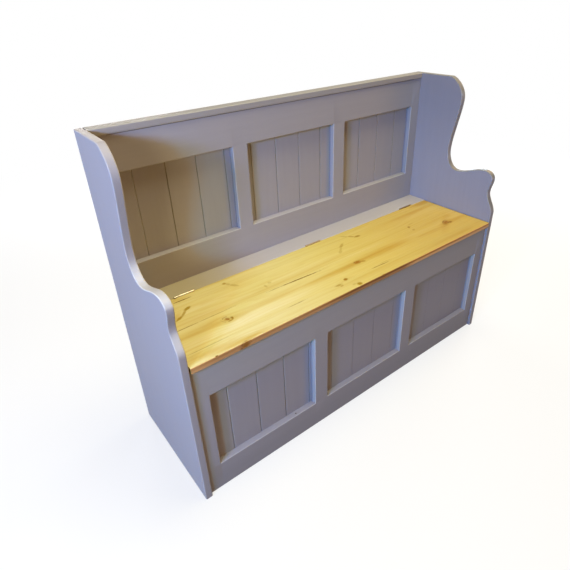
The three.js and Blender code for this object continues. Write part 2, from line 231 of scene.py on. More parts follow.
class SharedEffects:
    """The shader effects that several finishes use, each built once."""

    def __init__(self) -> None:
        """Builds the groups."""
        self.arris = self._arris()
        self.brushwork = self._brushwork()
        self.knot = self._knot()
        self.streak = self._streak()
        self.rings = self._rings()

    @staticmethod
    def _arris() -> Tree:
        """Finds the rounded arrises of a piece from the way its surface faces.

        Returns:
            The group.
        """
        effect = Effect("arris_mask", ("Normal", "Shaped"), ("Mask",))
        parts = effect.parts(effect.vector("ABSOLUTE", effect.given["Normal"]))
        largest = reduce(partial(effect.math, "MAXIMUM"), (parts["X"], parts["Y"], parts["Z"]))
        square = effect.smooth(largest, 0.995, 0.86)
        side = effect.times(parts["X"], parts["X"])
        shaped = effect.smooth(effect.times(side, effect.minus(1.0, side)), 0.03, 0.2)
        mixed = effect.add("Mix", {0: effect.given["Shaped"], 2: square, 3: shaped}, data_type="FLOAT")
        return effect.give(mixed.outputs[0])

    @staticmethod
    def _brushwork() -> Tree:
        """Makes the marks that a brush leaves in paint, and the wood's grain that shows through it.

        Returns:
            The group.
        """
        effect = Effect("brushwork", ("Vector", "Stretch"), ("Tone", "Height", "Patches"))
        vector = effect.given["Vector"]
        along = effect.stretched(vector, effect.given["Stretch"])
        broad = effect.noise(along, 5.0, 3.0, 0.3)
        fine = effect.noise(along, 42.0, 4.0, 0.6)
        patches = effect.noise(vector, 3.2, 3.0, 0.4)
        peel = effect.noise(vector, 420.0)
        tone = effect.math("MULTIPLY_ADD", broad, 0.6, effect.times(fine, 0.4))
        ridges = effect.math("MULTIPLY_ADD", fine, 0.75, effect.times(peel, 0.25))
        return effect.give(tone, ridges, patches)

    @staticmethod
    def _knot() -> Tree:
        """Makes one knot: its heart, the ring round it, the stain beside it and the grain that bends.

        Returns:
            The group.
        """
        inputs = ("Vector", "Wobble", "Place", "Turn", "Reach", "Heart Share", "Stain Share")
        effect = Effect("pine_knot", inputs, ("Vector", "Heart", "Ring", "Stain"))
        given = effect.given
        local = effect.seen_from_mark()
        outline = effect.math("MULTIPLY_ADD", given["Wobble"], 1.1, effect.length(local, (1.0, 1.0, 0.0)))
        heart = effect.smooth(effect.math("DIVIDE", outline, given["Heart Share"]), 1.2, 0.3)
        ring = effect.times(effect.smooth(outline, 0.6, 0.95), effect.smooth(outline, 1.35, 1.05))
        stain_place = effect.math("DIVIDE", effect.length(local, (0.28, 0.75, 0.0)), given["Stain Share"])
        stain = effect.smooth(effect.math("MULTIPLY_ADD", given["Wobble"], 0.4, stain_place), 1.0, 0.0)
        pull = effect.smooth(effect.length(local, (0.2, 0.22, 0.0)), 1.0, 0.0, 0.0, -0.5)
        across = effect.vector("SUBTRACT", given["Vector"], given["Place"])
        bent = effect.stretched(across, effect.joined(Y=pull))
        return effect.give(effect.vector("ADD", given["Vector"], bent), heart, ring, stain)

    @staticmethod
    def _streak() -> Tree:
        """Makes one soft oval mark, such as a streak of resin or a smudge.

        Returns:
            The group.
        """
        effect = Effect("soft_streak", ("Vector", "Wobble", "Place", "Turn", "Reach", "Core"), ("Mask",))
        distance = effect.length(effect.seen_from_mark(), (1.0, 1.0, 0.0))
        outline = effect.math("MULTIPLY_ADD", effect.given["Wobble"], 0.9, distance)
        return effect.give(effect.smooth(outline, 1.0, effect.given["Core"]))

    @staticmethod
    def _rings() -> Tree:
        """Makes the figure of a flat sawn pine plank, with arches where the rings run out.

        Returns:
            The group.
        """
        effect = Effect("pine_rings", ("Vector", "Middle", "Spacing"), ("Late Wood", "Streaks", "Fibre"))
        vector = effect.given["Vector"]
        parts = effect.parts(vector)
        drift = effect.noise(effect.stretched(vector, (1.0, 3.0, 3.0)), 1.3)
        heart = effect.math("MULTIPLY_ADD", drift, 0.13, -0.02)
        across = effect.minus(parts["Y"], effect.given["Middle"])
        square = effect.math("MULTIPLY_ADD", across, across, effect.times(heart, heart))
        radius = effect.math("SQRT", effect.math("MULTIPLY_ADD", parts["Z"], 0.02, square))
        waver = effect.noise(effect.stretched(vector, (1.0, 10.0, 10.0)), 6.0, 3.0)
        count = effect.math("DIVIDE", radius, effect.given["Spacing"])
        phase = effect.math("FRACT", effect.math("ADD", count, effect.times(waver, 1.6)))
        late = effect.times(effect.smooth(phase, 0.35, 0.93), effect.smooth(phase, 1.0, 0.95))
        streaks = effect.noise(effect.stretched(vector, (1.0, 34.0, 34.0)), 1.5, 4.0, 0.3)
        fibre = effect.noise(effect.stretched(vector, (1.0, 60.0, 60.0)), 26.0, 3.0)
        return effect.give(late, streaks, fibre)


class Surface(Graph):
    """The nodes of one material, with the shared effects at hand."""

    def __init__(self, name: str, effects: SharedEffects | None = None) -> None:
        """Starts the material.

        Args:
            name: The material's name.
            effects: The shared effects, where it uses them.
        """
        self.material = bpy.data.materials.new(name)
        self.material.use_nodes = True
        super().__init__(self.material.node_tree)
        self.effects = effects
        self.shader = self.tree.nodes["Principled BSDF"]
        place = self.add("TexCoord").outputs
        self.place = place["Object"]
        self.normal = place["Normal"]

    def arris(self, shaped: float) -> Socket:
        """Finds the piece's rounded arrises, those of a shaped outline where shaped is 1."""
        return self.group(self.effects.arris, {"Normal": self.normal, "Shaped": shaped})["Mask"]

    def wear(self, **looks: object) -> None:
        """Gives the surface shader its looks.

        Args:
            **looks: What each of its sockets gets, with underscores for the spaces in their names.
        """
        for name, value in looks.items():
            self.feed(self.shader.inputs[name.replace("_", " ")], value)

    def relief(self, height: Socket, depth: float) -> Socket:
        """Gives the normal of a relief, from its height between 0 and 1 and its full depth."""
        return self.add("Bump", {"Height": height, "Distance": depth, "Strength": 1.0}).outputs["Normal"]


@dataclass(frozen=True)
class PaintedLight:
    """Painted light or shade in the paint: its axis, where it starts and where it is full, and the faces
    that it lies on.
    """

    axis: str
    start: float
    full: float
    tint: Colour
    facing: Facing = Facing.ALL


@dataclass(frozen=True)
class Finish:
    """A finish: its material's name and the record's material slot."""

    name: str
    slot: str

    def cover(self, surface: Surface) -> None:
        """Lays the finish on a new material's surface."""
        raise NotImplementedError


@dataclass(frozen=True)
class PaintFinish(Finish):
    """Satin paint laid on by brush."""

    slot: str = "painted_wood"
    grain: Grain = Grain.UPRIGHT
    colour: Colour = (0.335, 0.32, 0.36)
    shaped: float = 0.0
    joint_face: float | None = None
    # Where a painted shadow runs along the top rail, just under the cap.
    shade_height: float | None = None
    # Painted light and shade laid on this paint.
    painted_lights: tuple[PaintedLight, ...] = ()
    # The arrises' paler colour: partly worn paint, partly a painted highlight.
    arris_wear_and_highlight: Colour = (0.52, 0.51, 0.52)
    cool_tint: Colour = (0.97, 0.985, 1.02)
    joint_tint: Colour = (0.34, 0.33, 0.31)
    joint_mouth: Span = (0.05 * MM, 0.4 * MM)
    joint_bottom: Span = (6.0 * MM, 4.0 * MM)
    first_joint: float = 0.3
    first_joint_end: Span = (-0.47, -0.43)
    shade_tint: Colour = (0.45, 0.42, 0.4)
    shade_reach: Span = (2.4 * MM, 1.2 * MM)
    contrast: float = 0.02
    depth: float = 0.016 * MM
    roughness: float = 0.46
    gloss: float = 0.18

    def cover(self, surface: Surface) -> None:
        """Lays the brushed colour, arrises paler from wear and a painted highlight, the joints, and painted
        light and shade.

        Args:
            surface: The material's surface.
        """
        brush = {"Vector": surface.place, "Stretch": self.grain.value}
        marks = surface.group(surface.effects.brushwork, brush)
        arris = surface.arris(self.shaped)
        shares = (1.0 - self.contrast, 1.0 + self.contrast)
        dark, light = (tuple(channel * share for channel in self.colour) for share in shares)
        colour = surface.blend(surface.smooth(marks["Tone"], 0.3, 0.7), dark, light)
        colour = surface.tint(surface.smooth(marks["Patches"], 0.35, 0.7), colour, self.cool_tint)
        # Paler arrises: partly worn paint, partly a painted highlight where the rounded arris catches the
        # light.
        worn = surface.times(arris, surface.smooth(marks["Patches"], 0.25, 0.75, 0.45, 0.85))
        colour = surface.blend(worn, colour, self.arris_wear_and_highlight)
        place = surface.parts(surface.place)
        if self.joint_face is not None:
            colour = surface.tint(self._joints(surface, place), colour, self.joint_tint)
        # A painted shadow along the top rail, just under the cap's overhang.
        if self.shade_height is not None:
            line = surface.smooth(place["Z"], *(self.shade_height - reach for reach in self.shade_reach))
            colour = surface.tint(line, colour, self.shade_tint)
        facing = surface.parts(surface.normal)
        # Painted light and shade: each tint grows along one axis of the bench, on the faces that look one
        # way.
        for shade in self.painted_lights:
            amount = surface.smooth(place[shade.axis], shade.start, shade.full)
            if shade.facing is not Facing.ALL:
                axis, start, full = shade.facing.value
                amount = surface.times(amount, surface.smooth(facing[axis], start, full))
            colour = surface.tint(amount, colour, shade.tint)
        roughness = surface.smooth(marks["Tone"], 0.2, 0.8, self.roughness - 0.05, self.roughness + 0.07)
        normal = surface.relief(marks["Height"], self.depth)
        surface.wear(Base_Color=colour, Roughness=roughness, Normal=normal, Specular_IOR_Level=self.gloss)

    def _joints(self, surface: Surface, place: dict[str, Socket]) -> Socket:
        """Finds the V joints between the boards.

        Args:
            surface: The material's surface.
            place: The place's X, Y and Z.

        Returns:
            How much a joint shows, which is less for the first one.
        """
        inside = surface.minus(place["Y"], self.joint_face)
        depth = (surface.smooth(inside, *self.joint_mouth), surface.smooth(inside, *self.joint_bottom))
        share = surface.smooth(place["X"], *self.first_joint_end, self.first_joint, 1.0)
        return surface.times(*depth, share)


@dataclass(frozen=True)
class Mark:
    """A soft oval mark in the lid's wood, in mm, and turned by some degrees."""

    x: float
    depth: float
    half_length: float
    half_width: float
    strength: float = 1.0
    turn: float = 0.0

    def sockets(self, rear: float) -> dict[str, Sequence[float]]:
        """Gives the mark's place, turn and reach, with its depth measured from the rear."""
        return {
            "Place": (self.x * MM, rear - self.depth * MM, 0.0),
            "Turn": (0.0, 0.0, math.radians(self.turn)),
            "Reach": (self.half_length * MM, self.half_width * MM, 1.0),
        }


@dataclass(frozen=True)
class Knot(Mark):
    """A knot: the share of it that is heart, and how far its stain reaches."""

    heart_share: float = 0.95
    stain_share: float = 1.8


@dataclass(frozen=True)
class Figure:
    """The marks on the lid: the wood's own, and one warm mark of painted shade."""

    knots: Sequence[Knot]
    pale: Sequence[Mark]
    warm: Sequence[Mark]
    smudges: Sequence[Mark]
    checks: Sequence[Mark]


@dataclass(frozen=True)
class PineFinish(Finish):
    """Waxed pine with the figure, knots and stains of the lid."""

    figure: Figure
    joints: tuple[float, ...]
    rear: float
    top: float
    # Paler and cooler to the left, deeper orange to the right: partly the wood's own colour, partly painted
    # light falling off from the left.
    left: Colour = (0.6, 0.545, 0.265)
    middle: Colour = (0.53, 0.447, 0.138)
    right: Colour = (0.478, 0.348, 0.09)
    left_to_middle: Span = (-0.45, 0.1)
    middle_to_right: Span = (-0.1, 0.5)
    plank_shares: tuple[float, ...] = (1.02, 1.05, 1.05, 1.02)
    pale_tint: Colour = (1.07, 1.1, 1.38)
    warm_tint: Colour = (0.86, 0.74, 0.48)
    late_tint: Colour = (0.93, 0.86, 0.74)
    fibre_tint: Colour = (0.93, 0.91, 0.86)
    smudge_tint: Colour = (0.56, 0.44, 0.13)
    check_tint: Colour = (0.36, 0.28, 0.13)
    heart: Colour = (0.25, 0.1, 0.005)
    rim: Colour = (0.16, 0.065, 0.008)
    # The front edge's colour, lighter to the right: partly the soaked wax, partly painted light.
    edge_left: Colour = (0.64, 0.37, 0.17)
    edge_right: Colour = (0.8, 0.46, 0.2)
    edge_span: Span = (-0.3, 0.3)
    edge_streak: Colour = (0.8, 0.72, 0.6)
    edge_deep: Colour = (0.54, 0.47, 0.38)
    deep_rise: Ramp = (-0.2, -0.08, 0.4, 1.0)
    deep_start: Span = (-0.57, -0.5)
    deep_end: Span = (0.19, 0.12)
    # A painted shadow below the front arris, where the rounded edge turns from the light.
    edge_shadow_line: Colour = (0.54, 0.38, 0.1)
    line_top: Span = (0.8 * MM, 2.5 * MM)
    line_foot: Span = (10.5 * MM, 6.5 * MM)
    line_rise: Ramp = (-0.38, -0.06, 0.3, 1.0)
    end_tint: Colour = (0.4, 0.28, 0.2)
    ring_spacing: float = 6.5 * MM
    plank_pitch: float = 70.0 * MM
    depth: float = 0.05 * MM
    gloss: float = 0.16

    def cover(self, surface: Surface) -> None:
        """Lays the wood's colour, its figure, the front edge, the smudges and checks, and the knots.

        Args:
            surface: The material's surface.
        """
        flat = self._unrolled(surface)
        wobble = surface.minus(surface.noise(flat, 90.0, 4.0, 0.6), 0.5)
        moved, heart, ring, stain = self._knots(surface, flat, wobble)
        number, middle, share = self._plank(surface)
        own = surface.vector("ADD", moved, surface.stretched(number, (1.7, 0.31, 0.9)))
        pattern = {"Vector": moved, "Middle": middle, "Spacing": self.ring_spacing}
        rings = surface.group(surface.effects.rings, pattern)
        bands = surface.noise(surface.stretched(own, (1.1, 26.0, 26.0)), 1.0, 3.0, 0.4)
        fine = surface.noise(surface.stretched(own, (1.6, 120.0, 120.0)), 1.0, 3.0, 0.5)
        drift = surface.minus(surface.noise(surface.stretched(flat, (6.0, 60.0, 60.0)), 1.0, 3.0), 0.5)

        along = surface.parts(surface.place)["X"]
        # Painted light in part: the wood paler to the left and deeper orange to the right.
        wood = surface.blend(surface.smooth(along, *self.left_to_middle), self.left, self.middle)
        wood = surface.blend(surface.smooth(along, *self.middle_to_right), wood, self.right)
        wood = surface.tint(1.0, wood, share)
        figure = (
            (surface.smooth(bands, 0.52, 0.72, 0.0, 0.55), self.warm_tint),
            (surface.smooth(bands, 0.47, 0.28, 0.0, 0.5), self.pale_tint),
            (surface.smooth(fine, 0.5, 0.75, 0.0, 0.4), self.warm_tint),
            (surface.smooth(fine, 0.45, 0.25, 0.0, 0.35), self.pale_tint),
            (surface.times(rings["Late Wood"], 0.45), self.late_tint),
            (surface.smooth(rings["Fibre"], 0.3, 0.7, 0.0, 0.35), self.fibre_tint),
            (self._marks(surface, self.figure.pale, flat, drift, 0.1), self.pale_tint),
            (self._marks(surface, self.figure.warm, flat, drift, 0.1), self.warm_tint),
            (surface.times(stain, 0.6), self.warm_tint),
        )
        for mask, tint in figure:
            wood = surface.tint(mask, wood, tint)
        wood = self._edge(surface, rings["Streaks"], wood)
        smudges = self._marks(surface, self.figure.smudges, flat, wobble, 0.4)
        checks = self._marks(surface, self.figure.checks, flat, wobble, 0.5)
        wood = surface.tint(checks, surface.tint(smudges, wood, self.smudge_tint), self.check_tint)
        wood = surface.blend(surface.times(heart, 0.88), wood, self.heart)
        uneven = surface.smooth(wobble, -0.08, 0.16, 0.0, 0.75)
        colour = surface.blend(surface.times(ring, uneven), wood, self.rim)
        roughness = surface.smooth(rings["Fibre"], 0.2, 0.8, 0.32, 0.44)
        height = surface.math("MULTIPLY_ADD", rings["Late Wood"], 0.5, surface.times(rings["Fibre"], 0.5))
        normal = surface.relief(height, self.depth)
        surface.wear(Base_Color=colour, Roughness=roughness, Normal=normal, Specular_IOR_Level=self.gloss)

    def _unrolled(self, surface: Surface) -> Socket:
        """Lays the front edge out flat before the top face, so that marks run over the arris.

        Args:
            surface: The material's surface.

        Returns:
            The place on the flat figure.
        """
        place = surface.parts(surface.place)
        depth = surface.math("ADD", place["Y"], surface.minus(place["Z"], self.top))
        return surface.joined(X=place["X"], Y=depth, Z=place["Z"])

    def _knots(self, surface: Surface, vector: Socket, wobble: Socket) -> tuple[Socket, ...]:
        """Places the knots.

        Args:
            surface: The material's surface.
            vector: The place on the lid.
            wobble: What makes the outlines uneven.

        Returns:
            The place as the grain bends it, and the masks of the hearts, the rings and the stains.
        """
        masks = {"Heart": 0.0, "Ring": 0.0, "Stain": 0.0}
        for knot in self.figure.knots:
            shares = {"Heart Share": knot.heart_share, "Stain Share": knot.stain_share}
            inputs = {"Vector": vector, "Wobble": wobble, **knot.sockets(self.rear), **shares}
            spot = surface.group(surface.effects.knot, inputs)
            vector = spot["Vector"]
            for name, mask in masks.items():
                masks[name] = surface.math("MAXIMUM", mask, surface.times(spot[name], knot.strength))
        return vector, *masks.values()

    def _marks(
        self, surface: Surface, marks: Sequence[Mark], vector: Socket, wobble: Socket, core: float
    ) -> Socket:
        """Places the marks of one kind.

        Args:
            surface: The material's surface.
            marks: The marks.
            vector: The place on the lid.
            wobble: What makes the outlines uneven.
            core: How far from its middle a mark stays full.

        Returns:
            Their mask.
        """
        mask = 0.0
        for mark in marks:
            inputs = {"Vector": vector, "Wobble": wobble, "Core": core, **mark.sockets(self.rear)}
            spot = surface.group(surface.effects.streak, inputs)["Mask"]
            mask = surface.math("MAXIMUM", mask, surface.times(spot, mark.strength))
        return mask

    def _edge(self, surface: Surface, streaks: Socket, wood: Socket) -> Socket:
        """Darkens the lid's front edge and ends, where the wax soaked in, and paints a shadow below the
        front arris; the edge is lighter to the right, partly as painted light.

        Args:
            surface: The material's surface.
            streaks: A pattern along the wood.
            wood: The wood's colour.

        Returns:
            The colour with the edge.
        """
        facing = surface.parts(surface.normal)
        place = surface.parts(surface.place)
        along = place["X"]
        soaked = surface.blend(surface.smooth(along, *self.edge_span), self.edge_left, self.edge_right)
        streaked = surface.tint(surface.smooth(streaks, 0.35, 0.7, 0.0, 0.4), soaked, self.edge_streak)
        spans = (self.deep_rise, self.deep_start, self.deep_end)
        deep = surface.times(*(surface.smooth(along, *span) for span in spans))
        edge = surface.smooth(facing["Y"], -0.45, -0.85)
        wood = surface.blend(edge, wood, surface.tint(deep, streaked, self.edge_deep))
        ends = surface.smooth(surface.math("ABSOLUTE", facing["X"]), 0.6, 0.9)
        wood = surface.tint(ends, wood, self.end_tint)
        # Painted shadow below the front arris.
        below = surface.minus(self.top, place["Z"])
        line = (
            surface.smooth(below, *self.line_top),
            surface.smooth(below, *self.line_foot),
            surface.smooth(along, *self.line_rise),
            surface.smooth(streaks, 0.3, 0.6, 0.6, 1.0),
            surface.smooth(facing["Y"], -0.2, -0.6),
        )
        return surface.tint(surface.times(*line), wood, self.edge_shadow_line)

    def _plank(self, surface: Surface) -> tuple[Socket, Socket, Socket]:
        """Tells the planks apart, so that each has a figure of its own.

        Args:
            surface: The material's surface.

        Returns:
            The plank's number as a vector, the place of its heart across the lid, and how light its wood is.
        """
        across = surface.parts(surface.place)["Y"]
        number = 0.0
        middle = self.rear - 0.6 * self.joints[0]
        share = self.plank_shares[0]
        for joint, before, after in zip(self.joints, self.plank_shares, self.plank_shares[1:]):
            passed = surface.math("LESS_THAN", across, self.rear - joint)
            number = surface.math("ADD", number, passed)
            middle = surface.math("MULTIPLY_ADD", passed, -self.plank_pitch, middle)
            share = surface.math("MULTIPLY_ADD", passed, after - before, share)
        return surface.joined(X=number, Y=number, Z=number), middle, share


@dataclass(frozen=True)
class BarePineFinish(Finish):
    """Planed pine with no finish: its grain runs along the first axis and its rings count on the second."""

    axes: str
    middle: float = 0.03
    ring_spacing: float = 7.0 * MM
    early: Colour = (0.62, 0.46, 0.26)
    late: Colour = (0.47, 0.31, 0.14)
    streak: Colour = (0.7, 0.55, 0.34)
    depth: float = 0.1 * MM

    def cover(self, surface: Surface) -> None:
        """Lays the wood.

        Args:
            surface: The material's surface.
        """
        place = surface.parts(surface.place)
        turned = surface.joined(**{to: place[axis] for to, axis in zip("XYZ", self.axes)})
        pattern = {"Vector": turned, "Middle": self.middle, "Spacing": self.ring_spacing}
        rings = surface.group(surface.effects.rings, pattern)
        wood = surface.blend(surface.times(rings["Late Wood"], 0.7), self.early, self.late)
        colour = surface.blend(surface.smooth(rings["Streaks"], 0.35, 0.7, 0.0, 0.4), wood, self.streak)
        roughness = surface.smooth(rings["Fibre"], 0.2, 0.8, 0.6, 0.75)
        normal = surface.relief(rings["Fibre"], self.depth)
        surface.wear(Base_Color=colour, Roughness=roughness, Normal=normal)


@dataclass(frozen=True)
class HingeFinish(Finish):
    """Brassed metal that has gone dull."""

    slot: str = "hinge_metal"
    bright: Colour = (0.42, 0.385, 0.28)
    dull: Colour = (0.36, 0.235, 0.12)
    depth: float = 0.02 * MM

    def cover(self, surface: Surface) -> None:
        """Lays the metal, its tarnish and its scratches.

        Args:
            surface: The material's surface.
        """
        patches = surface.noise(surface.place, 60.0, 4.0, 0.5)
        scratches = surface.noise(surface.stretched(surface.place, (1.0, 8.0, 8.0)), 300.0, 3.0)
        # Duller from x -0.43 on: partly tarnish, partly painted shade that ends the left hinge's bright
        # highlight there.
        tarnish_and_highlight_end = surface.smooth(surface.parts(surface.place)["X"], -0.44, -0.42, -0.12, 0.12)
        tarnish = surface.smooth(surface.math("ADD", patches, tarnish_and_highlight_end), 0.38, 0.62)
        worn = surface.times(tarnish, surface.math("MULTIPLY_ADD", surface.arris(0.0), -0.4, 1.0))
        colour = surface.blend(worn, self.bright, self.dull)
        roughness = surface.smooth(patches, 0.3, 0.7, 0.28, 0.5)
        normal = surface.relief(scratches, self.depth)
        surface.wear(Base_Color=colour, Roughness=roughness, Normal=normal, Metallic=1.0)


def activate(piece: Piece) -> None:
    """Makes one piece the only one that is selected.

    Args:
        piece: The piece.
    """
    bpy.ops.object.select_all(action="DESELECT")
    piece.select_set(True)
    bpy.context.view_layer.objects.active = piece


@contextmanager
def editing(piece: Piece, keep_choice: bool = False) -> Iterator[None]:
    """Opens a piece's mesh for editing, as long as the block lasts.

    Args:
        piece: The piece.
        keep_choice: Whether the mesh stays selected as it is, in place of all over.

    Returns:
        The context, which closes the mesh again.
    """
    activate(piece)
    bpy.ops.object.mode_set(mode="EDIT")
    if not keep_choice:
        bpy.ops.mesh.select_all(action="SELECT")
    yield
    bpy.ops.object.mode_set(mode="OBJECT")


def clear_choice(piece: Piece, kind: str) -> None:
    """Deselects all of a piece's mesh, so that edges or points can be selected in code.

    Args:
        piece: The piece.
        kind: What will be selected, as EDGE or VERT.
    """
    with editing(piece):
        bpy.ops.mesh.select_mode(type=kind)
        bpy.ops.mesh.select_all(action="DESELECT")


def near(value: float, place: float, reach: float = 0.05 * MM) -> bool:
    """Tells whether two lengths are the same to a small reach."""
    return abs(value - place) < reach


def lies_at(start: Vector, end: Vector, axis: str, place: float) -> bool:
    """Tells whether both ends of an edge lie at a place on an axis."""
    return near(getattr(start, axis), place) and near(getattr(end, axis), place)


def merged_copy(node: str, kind: str = "wood") -> Piece:
    """Copies a solid of the frame and joins its loose triangles into clean faces.

    Args:
        node: The solid's name.
        kind: What the copy's name adds to it.

    Returns:
        The copy.
    """
    piece = bpy.data.objects.new(f"{node}_{kind}", frame["nodes"][node].data.copy())
    bpy.context.scene.collection.objects.link(piece)
    piece.data.materials.clear()
    with editing(piece):
        bpy.ops.mesh.remove_doubles(threshold=MERGE_REACH)
        bpy.ops.mesh.dissolve_limited(angle_limit=FLAT_TURN)
    return piece


def ease_edges(piece: Piece, test: Test, width: float, segments: int = 3) -> None:
    """Rounds the edges that pass a test.

    Args:
        piece: The piece.
        test: Tells from an edge's two ends whether it is rounded.
        width: How wide the rounding is.
        segments: How many faces it has.
    """
    clear_choice(piece, "EDGE")
    for edge in piece.data.edges:
        edge.select = test(*(piece.data.vertices[index].co for index in edge.vertices))
    if not any(edge.select for edge in piece.data.edges):
        LOG.warning("no edge of %s was found to ease", piece.name)
        return
    with editing(piece, keep_choice=True):
        bpy.ops.mesh.bevel(offset=width, segments=segments, affect="EDGES", clamp_overlap=True)


def shift_points(piece: Piece, test: Callable[[Vector], bool], move: Sequence[float]) -> None:
    """Moves the points that pass a test.

    Args:
        piece: The piece.
        test: Tells from a point whether it moves.
        move: How far it moves on each axis.
    """
    clear_choice(piece, "VERT")
    for point in piece.data.vertices:
        point.select = test(point.co)
    with editing(piece, keep_choice=True):
        bpy.ops.transform.translate(value=move)


def split_at(piece: Piece, axis: str, *places: float) -> None:
    """Cuts new edges round a piece where planes across an axis meet it.

    Args:
        piece: The piece.
        axis: The axis.
        *places: Where the planes stand on it.
    """
    normal = Vector([float(name == axis) for name in "xyz"])
    for place in places:
        with editing(piece):
            bpy.ops.mesh.bisect(plane_co=normal * place, plane_no=normal)


def smooth_faces(piece: Piece) -> None:
    """Shades a piece smooth over its rounded edges while its flat faces stay flat.

    Args:
        piece: The piece.
    """
    activate(piece)
    bpy.ops.object.shade_smooth_by_angle(angle=SMOOTH_TURN)
    weighted = piece.modifiers.new("flat_faces", "WEIGHTED_NORMAL")
    weighted.keep_sharp = True
    weighted.weight = 100
    bpy.ops.object.modifier_apply(modifier=weighted.name)


@dataclass(frozen=True)
class Palette:
    """The finishes of the bench, each with its material, and the pieces dressed in them."""

    effects: SharedEffects = field(default_factory=SharedEffects)
    materials: dict[str, tuple[bpy.types.Material, str]] = field(default_factory=dict)
    dressed: dict[str, Body] = field(default_factory=dict)

    def add(self, finish: Finish) -> None:
        """Builds a finish and keeps it under its name.

        Args:
            finish: The finish.
        """
        surface = Surface(finish.name, self.effects)
        finish.cover(surface)
        self.materials[finish.name] = (surface.material, finish.slot)

    def dress(self, piece: Piece, finish: str, body: Body, *nodes: str) -> None:
        """Smooths a finished piece, and gives it its finish and its place in the moving frame.

        Args:
            piece: The piece.
            finish: The finish's name.
            body: The body that it moves with.
            *nodes: The solids that it stands for.
        """
        smooth_faces(piece)
        material, slot = self.materials[finish]
        piece.data.materials.clear()
        piece.data.materials.append(material)
        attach(piece, body.value)
        if nodes:
            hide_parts(*nodes)
        self.dressed[piece.name] = body

    def bare(self, piece: Piece, finish: str, test: Test) -> None:
        """Leaves the faces that pass a test as bare wood.

        Args:
            piece: The dressed piece.
            finish: The bare finish's name.
            test: Tells from a face's middle and normal whether it is bare.
        """
        piece.data.materials.append(self.materials[finish][0])
        for face in piece.data.polygons:
            if test(face.center, face.normal):
                face.material_index = 1


@dataclass(frozen=True)
class Assembly:
    """A sub-assembly of the bench, which takes its finishes from the palette."""

    palette: Palette

    def build(self) -> None:
        """Builds and dresses its pieces."""
        raise NotImplementedError


@dataclass(frozen=True)
class ShapedEnds(Assembly):
    """The two ends, cut to a shaped outline and rounded all round."""

    nodes: tuple[str, ...] = ("left_end", "right_end")

    def build(self) -> None:
        """Builds and dresses both ends."""
        low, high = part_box("box_floor")
        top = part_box("seat_rail")[0].z

        def is_inside(middle: Vector, normal: Vector) -> bool:
            """Tells whether a face looks into the box."""
            inward = normal.x * middle.x < 0.0 and abs(normal.x) > 0.9
            return inward and high.z < middle.z < top and low.y < middle.y < high.y

        for node in self.nodes:
            piece = merged_copy(node, "panel")
            split_at(piece, "z", high.z, top)
            split_at(piece, "y", low.y, high.y)
            self.palette.dress(piece, f"{node}_paint", Body.CARCASS, node)
            self.palette.bare(piece, "bare_end_pine", is_inside)


